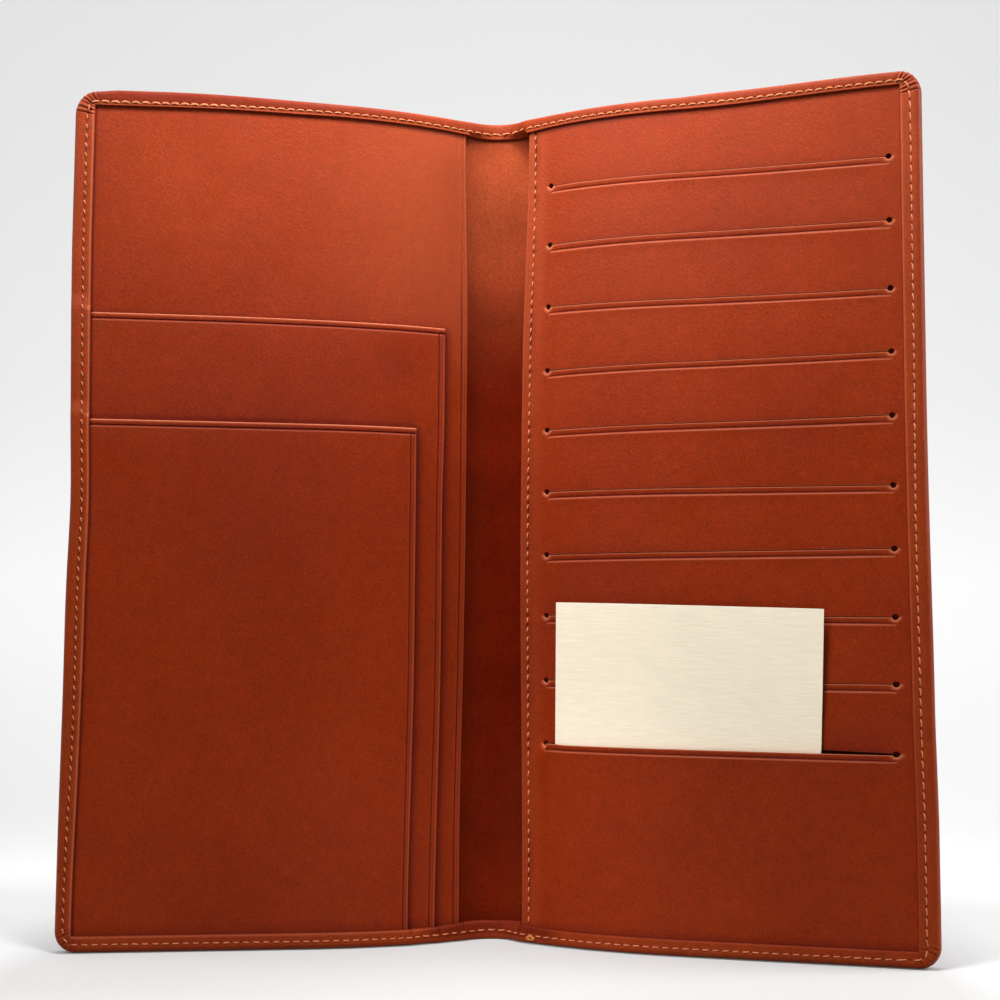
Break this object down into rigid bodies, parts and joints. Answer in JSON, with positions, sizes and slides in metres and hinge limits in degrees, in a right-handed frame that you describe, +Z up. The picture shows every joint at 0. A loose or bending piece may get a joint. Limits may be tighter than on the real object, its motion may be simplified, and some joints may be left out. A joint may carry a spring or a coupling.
{
  "type": "long bifold wallet",
  "caption": "Long bifold leather wallet standing open like a book, with bill, ticket and passport pockets on one half and a slit card panel with a blank paper card on the other.",
  "frame": {"origin": "middle of the base: centre of the bounding box on the surface that the wallet stands on", "axes": "+Z up along the spine, +X to the reader's right, -Y towards the reader, so the outer cover and the spine face +Y"},
  "size_m": [0.2125, 0.0374, 0.215],
  "materials": {
    "cover_leather": "satin, fine grain",
    "pocket_leather": "satin, smooth calf",
    "suede_lining": "matt suede",
    "liner_cloth": "matt",
    "card_paper": "laid paper"
  },
  "bodies": {
    "spine": {"cover_spine": "cover_leather", "lining_spine": "suede_lining"},
    "left_half": {"cover_left": "cover_leather", "lining_left": "suede_lining", "bill_panel": "pocket_leather", "ticket_pocket": "pocket_leather", "passport_pocket": "pocket_leather"},
    "right_half": {"cover_right": "cover_leather", "lining_right": "suede_lining", "card_backing": "liner_cloth", "card_panel": "pocket_leather", "card_liner_01": "liner_cloth", "card_liner_02": "liner_cloth", "card_liner_03": "liner_cloth", "card_liner_04": "liner_cloth", "card_liner_05": "liner_cloth", "card_liner_06": "liner_cloth", "card_liner_07": "liner_cloth", "card_liner_08": "liner_cloth", "card_liner_09": "liner_cloth", "card_liner_10": "liner_cloth"},
    "insert_card": {"insert_card": "card_paper"}
  },
  "joints": [
    {"name": "left_fold", "type": "hinge", "parent": "spine", "child": "left_half", "pos_m": [-0.00668, 0.01402, 0], "axis": [0, 0, 1], "range_deg": [-11.8, 67]},
    {"name": "right_fold", "type": "hinge", "parent": "spine", "child": "right_half", "pos_m": [0.00668, 0.01402, 0], "axis": [0, 0, -1], "range_deg": [-11.8, 67]},
    {"name": "card_slide", "type": "slide", "parent": "right_half", "child": "insert_card", "axis": [-0.0007, -0.0457, 0.999], "range_m": [0, 0.045]}
  ],
  "couplings": [
    {"joint": "right_fold", "follows": "left_fold", "ratio": 1}
  ]
}
